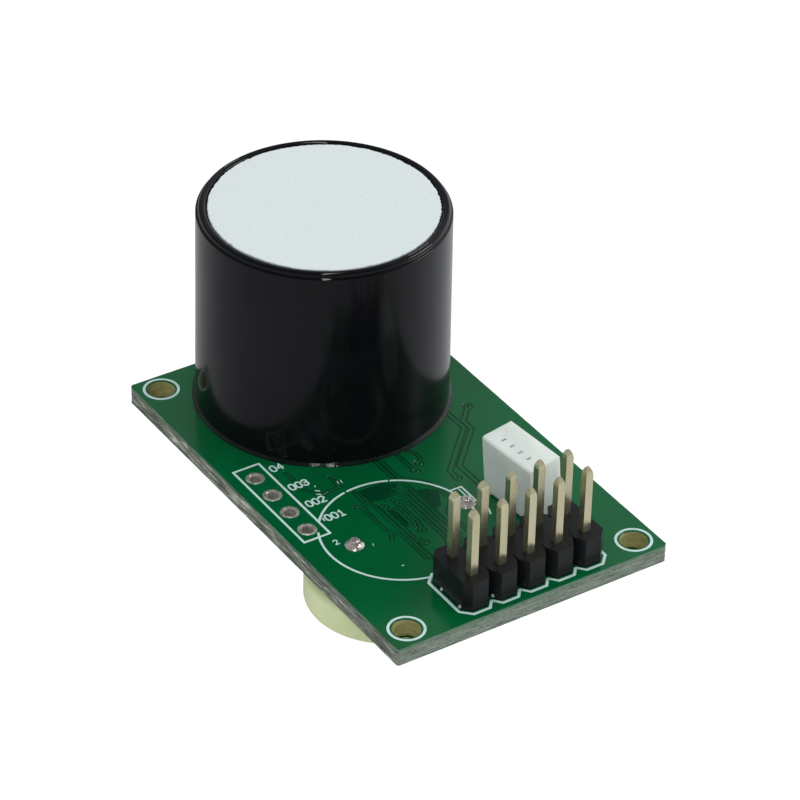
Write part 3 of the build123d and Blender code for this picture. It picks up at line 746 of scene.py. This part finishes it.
def feet(name):
    """Boxes (x0, x1, y0, y1) round each separate patch of a CAD node that touches the underside."""
    mesh = nodes[name].data
    turn = nodes[name].matrix_world
    spots = [turn @ v.co / MM for v in mesh.vertices]
    parent = list(range(len(spots)))

    def root(i):
        while parent[i] != i:
            parent[i] = parent[parent[i]]
            i = parent[i]
        return i

    places = {}
    for i, p in enumerate(spots):
        first = places.setdefault((round(p.x, 3), round(p.y, 3), round(p.z, 3)), i)
        parent[root(i)] = root(first)
    for a, b in (edge.vertices for edge in mesh.edges):
        parent[root(a)] = root(b)
    found = {}
    for i, p in enumerate(spots):
        if abs(p.z) < 0.04:
            x0, x1, y0, y1 = found.get(root(i), (p.x, p.x, p.y, p.y))
            found[root(i)] = (min(x0, p.x), max(x1, p.x), min(y0, p.y), max(y1, p.y))
    return sorted(found.values())


def oblong(box, out):
    """A box grown by out on every side, its corners cut."""
    x0, x1, y0, y1 = box[0] - out, box[1] + out, box[2] - out, box[3] + out
    nip = 0.06
    return [(x0 + nip, y0), (x1 - nip, y0), (x1, y0 + nip), (x1, y1 - nip), (x1 - nip, y1), (x0 + nip, y1),
            (x0, y1 - nip), (x0, y0 + nip)]


LEADED = ["microcontroller_leads", "amplifier_leads", "driver_leads", "regulator_leads", "chip_terminals"]
PAD_CLEAR = 0.2
CRYSTAL_PADS = [(5.45, 6.15, 7.1, 8.9), (9.25, 9.95, 7.1, 8.9)]


def lead_feet():
    return [box for name in LEADED for box in feet(name)]


def surface_pads():
    """Tinned pads under every lead and chip end, a little larger than what stands on them."""
    boxes = lead_feet() + CRYSTAL_PADS
    found, cells = cut([(oblong(box, 0.13), "pad") for box in boxes])
    slab("surface_pads", found, [t for t, _ in cells], -0.004, COPPER_DEEP, TIN, "tinned_copper", 0.02, -1)
    return [oblong(box, PAD_CLEAR) for box in boxes]


LOW_WIDE = [
    [(-8.13, -7.4), (-8.13, -14.4), (-6.4, -16.0), (-4.35, -16.0), (-4.35, -17.54)],
    [(2.03, -7.4), (3.3, -8.6), (3.3, -15.0)],
    [(-4.48, 11.1), (-6.2, 11.1), (-6.9, 11.8), (-6.9, 12.7)],
    [(5.68, 11.1), (4.4, 12.4), (3.6, 12.9), (3.6, 14.2)],
    [(3.6, 18.2), (3.6, 18.9), (-8.6, 18.9), (-8.6, 12.6)],
    [(9.6, 15.4), (9.6, 16.4), (8.6, 17.4), (6.3, 17.4), (5.1, 16.4)],
]
LOW_NARROW = [
    [(10.14, 2.8), (11.2, 3.8), (11.2, 6.6), (10.2, 7.6)],
    [(10.14, 2.0), (10.9, 2.0), (11.55, 1.4), (11.55, -6.0), (10.7, -7.0)],
    [(2.1, 3.2), (1.2, 4.1), (1.2, 5.2), (0.9, 6.9)],
    [(2.1, 2.4), (0.5, 2.4), (-0.2, 1.7)],
    [(2.1, 1.6), (0.9, 1.6), (-0.5, 0.2), (-2.0, 0.2), (-2.06, 1.0)],
    [(2.1, 0.8), (1.3, 0.8), (-0.1, -0.6), (-3.3, -0.6), (-3.33, 1.0)],
    [(2.1, 0.0), (0.5, -1.4), (-4.6, -1.4), (-4.6, 1.0)],
    [(2.1, -0.8), (1.1, -1.8), (-5.5, -1.8), (-5.87, -1.3), (-5.87, 1.0)],
    [(2.1, -1.6), (1.4, -2.3), (1.4, -13.2), (0.73, -14.1), (0.73, -15.0)],
    [(3.6, -4.0), (3.6, -4.4), (2.6, -5.4), (2.6, -6.1), (3.2, -6.6)],
    [(5.2, -4.0), (5.2, -4.8), (5.6, -5.2)],
    [(6.8, -4.0), (6.8, -4.6), (7.6, -5.2)],
    [(8.4, -4.0), (8.4, -4.3), (10.0, -5.4), (10.0, -7.0), (10.7, -7.5)],
    [(9.2, -4.0), (10.6, -5.2), (10.6, -6.2)],
    [(-7.14, 6.3), (-7.14, 7.1), (-7.6, 7.6), (-7.85, 8.4)],
    [(-5.87, 6.3), (-5.87, 7.2), (-5.45, 7.8), (-5.45, 8.4)],
    [(-4.6, 6.3), (-4.6, 7.4), (-4.5, 8.0)],
    [(-3.33, 6.3), (-3.33, 7.4), (-3.1, 8.0)],
    [(-2.06, 6.3), (-2.06, 7.2), (-2.1, 8.0)],
    [(-10.14, -3.88), (-9.0, -2.7), (-9.0, -0.2), (-8.41, 0.4), (-8.41, 1.0)],
    [(-10.14, -1.34), (-9.4, -0.6), (-9.4, 6.6), (-8.41, 7.4), (-8.41, 6.3)],
    [(-10.14, 1.2), (-10.9, 2.0), (-10.9, 9.6), (-9.35, 11.2), (-9.35, 13.2), (-7.9, 14.0)],
    [(6.9, 10.1), (6.9, 11.2), (8.6, 12.6), (8.9, 13.2)],
    [(4.3, 6.9), (5.0, 6.3), (5.2, 4.8)],
    [(8.7, -8.4), (7.9, -7.6), (7.3, -7.0), (7.3, -5.7)],
    [(8.7, -10.0), (8.7, -10.8)],
    [(10.7, -8.8), (10.7, -9.6)],
    [(10.7, -11.2), (10.7, -12.0)],
    [(8.7, -12.4), (7.4, -13.7), (6.4, -14.4), (5.81, -15.0)],
    [(10.7, -13.6), (9.3, -15.4), (7.2, -16.9), (5.81, -17.54)],
    [(-1.5, 13.3), (-2.2, 13.3), (-2.6, 12.9), (-3.5, 12.8)],
    [(0.1, 14.9), (1.1, 14.9), (1.5, 14.6), (2.1, 14.4)],
    [(-1.5, 16.5), (-2.3, 16.5), (-2.9, 17.2), (-3.5, 17.9)],
    [(0.1, 16.5), (0.9, 16.5), (1.3, 17.0), (1.3, 18.3)],
]
LOW_VIAS = [
    (-0.2, 1.7), (11.2, 6.6), (3.27, -4.6), (9.3, 5.2), (-9.6, 12.6), (11.0, 10.2), (10.6, -6.2), (1.3, 18.3),
    (-1.9, 10.2), (1.1, 10.1), (-8.4, -15.6), (9.9, -16.9), (-11.3, 14.0), (-9.9, -6.2), (7.6, 14.0),
    (3.9, 9.4), (11.4, -3.4),
]
LOW_NUMBERS = [
    (11.6, -1.0), (1.2, 2.9), (-9.4, 16.0), (7.4, 18.2), (11.4, 8.9), (5.2, -7.0), (7.4, -7.0), (-8.4, 9.3),
    (-6.0, 9.3), (-3.4, 9.3), (-0.9, 9.3), (1.9, 13.0), (-0.3, 17.4), (9.0, 10.9),
]


def low_print():
    """Part outlines, first-lead dots and reference numbers under the board, read from below."""
    shapes = mount_rings()
    shapes += ink(closed(circle(*CELL, 6.75, 96)), 0.18)
    for x0, x1, y0, y1 in ((2.6, 10.2, -3.4, 4.2), (-9.2, 0.0, 1.45, 5.75), (-8.1, -2.7, 13.25, 17.55),
                           (1.1, 6.1, 14.75, 17.65), (4.9, 10.5, 6.15, 9.85)):
        shapes += ink(closed([(x0, y0), (x1, y0), (x1, y1), (x0, y1)]), 0.15)
    for x, y in ((2.05, -4.0), (-9.75, 1.0), (-8.75, 12.7)):
        shapes += [(circle(x, y, 0.24, 16), "ink")]
    for n, (x, y) in enumerate(LOW_NUMBERS, 1):
        shapes += number(str(n), x, y, 0.9, 0.13, -1)
    clear = [oblong(box, PAD_CLEAR) for box in lead_feet()]
    clear += [circle(x, y, 0.8, 24) for x, y in PORTS]
    clear += [circle(x, y, 1.0, 24) for x, y in HEADER_PLACES + CAN_PINS]
    shapes += [(outline, "clear") for outline in clear]
    print_ink("bottom", shapes)


def port_barrels():
    """A tinned ring on each face and the plated wall between them, in one piece per hole."""
    top, low, ring = BOARD_TOP + 0.035, -0.035, PORT_RING_R
    loop = [(ring, BOARD_TOP - 0.02), (ring, top - 0.02), (0.73, top), (0.58, top + 0.012), (0.53, top)]
    loop += [(0.49, top - 0.05), (0.475, top - 0.2), (0.47, 0.8), (0.475, low + 0.2), (0.49, low + 0.05)]
    loop += [(0.53, low), (0.58, low - 0.012), (0.73, low), (ring, low + 0.02), (ring, 0.02)]
    loop += [(0.52, 0.02), (0.52, BOARD_TOP - 0.02)]
    profiles = [(x, y, loop) for x, y in PORTS]

    def warp(x, y, z):
        a = wobble(x * 2.0, y * 2.0, z * 1.2)
        return (x + 0.012 * a, y + 0.012 * wobble(x * 2, y * 2, 7 + z), z + 0.008 * a)

    lathe("service_hole_barrels", profiles, BARREL, "tinned_copper", 40, ["service_hole_pads"], 35, warp)


relief("top", TOP_WIDE, TOP_NARROW, TOP_VIAS, TOP_VOIDS)
relief("bottom", LOW_WIDE, LOW_NARROW, LOW_VIAS, [], surface_pads())
board_core()
top_print()
low_print()
port_barrels()


# Transducer

SHOULDER = [(0.0, 0.46), (0.02, 0.41), (0.08, 0.37), (0.16, 0.35), (0.2, 0.31), (0.21, 0.22), (0.23, 0.13),
            (0.27, 0.06), (0.32, 0.02), (0.38, 0.0)]  # inset from the wall, drop from the rim


def about_can(x, y):
    """A point's offset from the can's middle, its distance and its direction."""
    dx, dy = x - CAN[0], y - CAN[1]
    return dx, dy, math.hypot(dx, dy), math.atan2(dy, dx)


def can_shell():
    """A slightly tapered cup with a stepped shoulder, a grooved rim and a pocket for the face disc."""
    foot, inner, floor = BOARD_TOP, 9.0, CAN_TOP - FACE_DROP
    front = floor - FRONT_THICK
    taper, steps = CAN_FOOT_R - CAN_R, 20
    loop = [(inner, foot), (CAN_FOOT_R - 0.08, foot), (CAN_FOOT_R - 0.005, foot + 0.08)]
    loop += [(CAN_FOOT_R - taper * k / steps, foot + 0.2 + (CAN_TOP - 0.7 - foot) * k / steps)
             for k in range(steps + 1)]
    loop += [(CAN_R - inset, CAN_TOP - drop) for inset, drop in SHOULDER]
    loop += [(9.56, CAN_TOP), (9.53, CAN_TOP - 0.035), (9.49, CAN_TOP - 0.035), (9.46, CAN_TOP)]
    loop += [(9.3, CAN_TOP - 0.005), (9.23, CAN_TOP - 0.04), (POCKET_R, CAN_TOP - 0.1), (POCKET_R, floor)]
    loop += [(0.0, floor)]
    body = [(0.0, front), (inner, front)]

    def warp(x, y, z):
        dx, dy, r, a = about_can(x, y)
        if r < 9.1:
            return (x, y, z)
        s = 1 - 0.012 * (0.5 + 0.5 * wobble(math.cos(a) * 2.2, math.sin(a) * 2.2, z * 0.12)) / r
        return (CAN[0] + dx * s, CAN[1] + dy * s, z)

    profile = (*CAN, body + loop)
    made = lathe("can_shell", [profile], CAN_BLACK, "can_black", 192, ["transducer_shell"], 40, warp)
    made.data.materials.append(RIM_BLACK)
    for polygon in made.data.polygons:
        if polygon.center.z > (CAN_TOP - 0.4) * MM:
            polygon.material_index = 1


def film_disc():
    """A disc of film cut by hand: its edge wanders a little and its face is not quite flat."""
    floor, top = CAN_TOP - FACE_DROP, CAN_TOP - 0.05
    loop = [(0.0, floor), (9.1, floor), (FILM_R, floor + 0.04), (FILM_R, top - 0.06), (9.11, top - 0.015)]
    loop += [(r, top) for r in (9.05, 8.9, 8.6, 8.1, 7.2, 6.0, 4.5, 3.0, 1.5, 0.0)]

    def warp(x, y, z):
        dx, dy, r, a = about_can(x, y)
        if r < 1e-6:
            return (x, y, z)
        wander = 0.5 + 0.5 * wobble(math.cos(a) * 3.0, math.sin(a) * 3.0, 1.7)
        nick = abs(wobble(math.cos(a) * 24.0, math.sin(a) * 24.0, 4.1))
        s = 1 - (0.08 * wander + 0.17 * nick) * (r / FILM_R) ** 12 / r
        lift = 0.012 * wobble(x * 0.35, y * 0.35, 2.0) if z > floor + 0.1 else 0.0
        return (CAN[0] + dx * s, CAN[1] + dy * s, z + lift)

    lathe("film_disc", [(*CAN, loop)], FILM, "face_film", 256, ["face_disc"], 50, warp)


def foot_bead():
    """Adhesive squeezed out round the foot: uneven, and tapering away where the can overhangs the board."""
    steps, rings = 300, []
    points, faces = [], []
    reach = HALF_Y - 0.12
    limit = math.asin((reach - CAN[1]) / (CAN_FOOT_R + 0.1))
    start, end = math.pi - limit, TAU + limit
    for i in range(steps + 1):
        a = start + (end - start) * i / steps
        c, s = math.cos(a), math.sin(a)
        swell = 0.5 + 0.5 * wobble(c * 5, s * 5, 0.3)
        wide = 0.2 + 0.2 * swell
        if s > 0:
            wide = min(wide, max((reach - CAN[1]) / s - CAN_FOOT_R, 0.02))
        fade = min(1.0, i / 14, (steps - i) / 14)
        wide = max(wide * fade, 0.015)
        high = (0.16 + 0.14 * swell) * max(fade, 0.05)
        profile = [(0.0, high), (wide * 0.25, high * 0.62), (wide * 0.6, high * 0.3), (wide, 0.02)]
        profile += [(wide, -0.02), (-0.06, -0.02), (-0.06, high)]
        ring = []
        for out, up in profile:
            r = CAN_FOOT_R - 0.03 + out
            ring.append(len(points))
            points.append((CAN[0] + r * c, CAN[1] + r * s, BOARD_TOP + up))
        rings.append(ring)
    size = len(rings[0])
    for one, two in zip(rings, rings[1:]):
        for k in range(size):
            m = (k + 1) % size
            faces.append((one[k], one[m], two[m], two[k]))
    faces.append(rings[0][::-1])
    faces.append(rings[-1])
    piece("foot_bead", points, faces, BEAD, "adhesive", ["bonding_bead"], 50)


can_shell()
film_disc()
foot_bead()


# Solder

def dome(x, y, foot, tip, height):
    """A solder joint's profile: a wetted skirt, a round shoulder and a low crown."""
    skirt, crown = 12, 4
    loop = [(0.0, BOARD_TOP - 0.02), (foot, BOARD_TOP - 0.02), (foot, BOARD_TOP)]
    for i in range(1, skirt + 1):
        t = i / skirt
        loop.append((foot + (tip - foot) * (1 - (1 - t) ** 1.6), BOARD_TOP + height * (t ** 1.35)))
    for i in range(1, crown + 1):
        a = math.pi / 2 * (i / crown)
        loop.append((tip * math.cos(a), BOARD_TOP + (height + 0.12 * height * math.sin(a))))
    loop[-1] = (0.0, loop[-1][1])
    return (x, y, loop)


def lumpy(amount, size):
    """Moves points by smooth noise, less where they meet the board."""
    def warp(x, y, z):
        k = amount * min(1.0, abs(z - BOARD_TOP) / 0.15)
        move = (wobble(x, y, z, size), wobble(x + 9, y, z, size), wobble(x, y + 9, z, size))
        return (x + k * move[0], y + k * move[1], z + k * 0.6 * move[2])
    return warp


def flux_dots():
    """Small pale beads of dried flux on the header's block."""
    radius = 0.15
    angles = [math.pi * i / 8 for i in range(1, 8)]
    profiles = []
    for x, y, z in ((-5.62, -18.0, 1.78), (-5.62, -15.6, 1.8), (-2.86, -18.24, 1.84), (4.7, -13.9, 3.2)):
        loop = [(radius * math.sin(a), z - radius * math.cos(a)) for a in angles]
        profiles.append((x, y, [(0.0, z - radius)] + loop + [(0.0, z + radius)]))
    lathe("flux_dots", profiles, FLUX, None, 20, [], 60, lumpy(0.03, 0.2))


def tab_joints():
    for n, (x, y) in enumerate(TABS, 1):
        profile = dome(x, y, 0.76, 0.4, 0.46)
        replaced = [f"capacitor_solder_joint_{n}"]
        lathe(f"tab_joint_{n}", [profile], JOINT, "solder", 48, replaced, 60, lumpy(0.09, 0.4))


tab_joints()
flux_dots()


# Finish on the CAD nodes that show as they are

def dress(names, material, bevel=0.0, segments=3):
    for name in names:
        node = nodes[name]
        node.data.materials.clear()
        node.data.materials.append(material)
        if bevel:
            edge = node.modifiers.new("edge", "BEVEL")
            edge.width = bevel * MM
            edge.segments = segments
            edge.limit_method = "ANGLE"
            edge.angle_limit = math.radians(35)
            edge.harden_normals = True


def named(start):
    return sorted(n for n in nodes if n.startswith(start))


FINISHES = [
    (["pin_header_block"], HEADER_BLACK, 0.07),
    (named("header_pin_"), PLATING, 0.05),
    (["header_solder_joints", "socket_solder_joints", "transducer_solder_joints"], SOLDER),
    (["piezo_solder_dots", "chip_terminals"], SOLDER),
    (["socket_housing"], NYLON, 0.05),
    (named("socket_contact_"), TIN, 0.02),
    (["piezo_disc"], CERAMIC),
    (["damping_ring"], RUBBER),
    (["backing_pad"], FELT),
    (["potting_compound"], POTTING),
    (["transducer_base", "capacitor_gasket"], PLASTIC_BLACK),
    (named("transducer_pin_") + named("capacitor_tab_"), TIN, 0.03),
    (named("lead_wire_"), COPPER),
    (["capacitor_sleeve"], SLEEVE),
    (["capacitor_case", "capacitor_lid"], STEEL),
    (["capacitor_core"], CARBON),
    ([n for n in nodes if n.endswith("_body")], EPOXY_BLACK, 0.05),
    (LEADED[:-1], TIN, 0.02, 2),
    (["crystal_base"], XTAL_BASE, 0.04),
    (["crystal_lid"], XTAL_LID, 0.05),
    (["chip_capacitor_bodies"], CHIP_TAN, 0.05),
    (["chip_resistor_bodies"], CHIP_BLACK, 0.03),
]
for finish in FINISHES:
    dress(*finish)


# Stage

FLOOR_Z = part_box("capacitor_tab_far")[0].z
LENS_WHITE = 1.05


def camera():
    """The lens, its place in millimetres and its right, up and back directions."""
    data = bpy.data.cameras.new("camera")
    data.sensor_width = 36.0
    data.lens = 173.83
    data.shift_x, data.shift_y = 0.00264, -0.02522
    data.clip_start, data.clip_end = 0.01, 10.0
    made = bpy.data.objects.new("camera", data)
    right = Vector((0.838662, -0.544273, 0.020326))
    up = Vector((0.297477, 0.489001, 0.819991))
    back = Vector((-0.456238, -0.681649, 0.572016))
    turn = Matrix((right, up, back)).transposed().to_4x4()
    made.matrix_world = Matrix.Translation(Vector((-134.853, -202.073, 178.893)) * MM) @ turn
    show(made)
    bpy.context.scene.camera = made


def wire(tree, *pairs):
    """Link each output to its input."""
    for start, end in pairs:
        tree.links.new(start, end)


def fade(tree, start, end, low, high):
    """A node that maps start to end onto low to high."""
    made = tree.nodes.new("ShaderNodeMapRange")
    for socket, value in zip(made.inputs[1:5], (start, end, low, high)):
        socket.default_value = value
    return made


def floor():
    """A pale sheet: clean white to the lens, partly sheer to other rays, and clear from below."""
    half = 3.0
    mesh = bpy.data.meshes.new("floor")
    corners = [(-half, -half, 0), (half, -half, 0), (half, half, 0), (-half, half, 0)]
    mesh.from_pydata(corners, [], [(0, 1, 2, 3)])
    made = bpy.data.objects.new("floor", mesh)
    made.location.z = FLOOR_Z
    show(made)
    look = Look("floor_paper", Base_Color=(0.72, 0.72, 0.73, 1), Roughness=0.9, Specular_IOR_Level=0.0)
    tree, shader = look.tree, look.shader
    white = look.node("ShaderNodeEmission", Color=(1, 1, 1, 1), Strength=LENS_WHITE)
    clear = look.node("ShaderNodeBsdfTransparent")
    path = look.node("ShaderNodeLightPath")
    geometry = look.node("ShaderNodeNewGeometry")
    sheer, seen, below = (look.node("ShaderNodeMixShader") for _ in range(3))
    sheer.inputs[0].default_value = 0.4
    wire(tree, (shader.outputs[0], sheer.inputs[1]), (clear.outputs[0], sheer.inputs[2]),
         (path.outputs["Is Camera Ray"], seen.inputs[0]), (sheer.outputs[0], seen.inputs[1]),
         (white.outputs[0], seen.inputs[2]), (geometry.outputs["Backfacing"], below.inputs[0]),
         (seen.outputs[0], below.inputs[1]), (clear.outputs[0], below.inputs[2]),
         (below.outputs[0], tree.nodes["Material Output"].inputs["Surface"]))
    mesh.materials.append(look.material)


def surroundings():
    """Soft light all round, darker on some sides for reflections, and plain white where the lens sees it."""
    world = bpy.data.worlds.new("surroundings")
    bpy.context.scene.world = world
    world.use_nodes = True
    tree = world.node_tree
    soft = tree.nodes["Background"]
    soft.inputs["Color"].default_value = (0.96, 0.98, 1.0, 1)
    direction = tree.nodes.new("ShaderNodeTexCoord")
    split = tree.nodes.new("ShaderNodeSeparateXYZ")
    wall = fade(tree, 0.3, 0.9, 0.24, 0.85)
    roof = fade(tree, 0.6, 0.95, 1.0, 0.3)
    both = tree.nodes.new("ShaderNodeMath")
    both.operation = "MULTIPLY"
    strength = tree.nodes.new("ShaderNodeMix")
    strength.inputs[2].default_value = 0.85
    white = tree.nodes.new("ShaderNodeBackground")
    white.inputs["Color"].default_value = (1, 1, 1, 1)
    white.inputs["Strength"].default_value = LENS_WHITE
    path = tree.nodes.new("ShaderNodeLightPath")
    mixed = tree.nodes.new("ShaderNodeMixShader")
    wire(tree, (direction.outputs["Generated"], split.inputs[0]), (split.outputs["X"], wall.inputs["Value"]),
         (split.outputs["Z"], roof.inputs["Value"]), (wall.outputs["Result"], both.inputs[0]),
         (roof.outputs["Result"], both.inputs[1]), (both.outputs[0], strength.inputs[3]),
         (path.outputs["Is Glossy Ray"], strength.inputs[0]), (strength.outputs[0], soft.inputs["Strength"]),
         (path.outputs["Is Camera Ray"], mixed.inputs[0]), (soft.outputs[0], mixed.inputs[1]),
         (white.outputs[0], mixed.inputs[2]),
         (mixed.outputs[0], tree.nodes["World Output"].inputs["Surface"]))


def lamp(name, place, target, size, power, long=0.0, turn=0.0):
    """A round lamp, or a strip if it has a long side, turned about its own axis."""
    data = bpy.data.lights.new(name, "AREA")
    data.shape = "RECTANGLE" if long else "DISK"
    data.size = size
    data.size_y = long or size
    data.energy = power
    made = bpy.data.objects.new(name, data)
    made.location = place
    made.rotation_mode = "QUATERNION"
    aim = (Vector(target) - Vector(place)).to_track_quat("-Z", "Y")
    made.rotation_quaternion = aim @ Quaternion((0, 0, 1), math.radians(turn))
    show(made)


camera()
floor()
surroundings()
lamp("overhead", (0.0, 0.0, 0.34), (0, 0, 0), 0.016, 0.22, 0.5, -33.8)
lamp("side", (0.45, -0.25, 0.2), (0, 0, 0), 0.26, 0.85)
bpy.context.scene.view_settings.view_transform = "Standard"
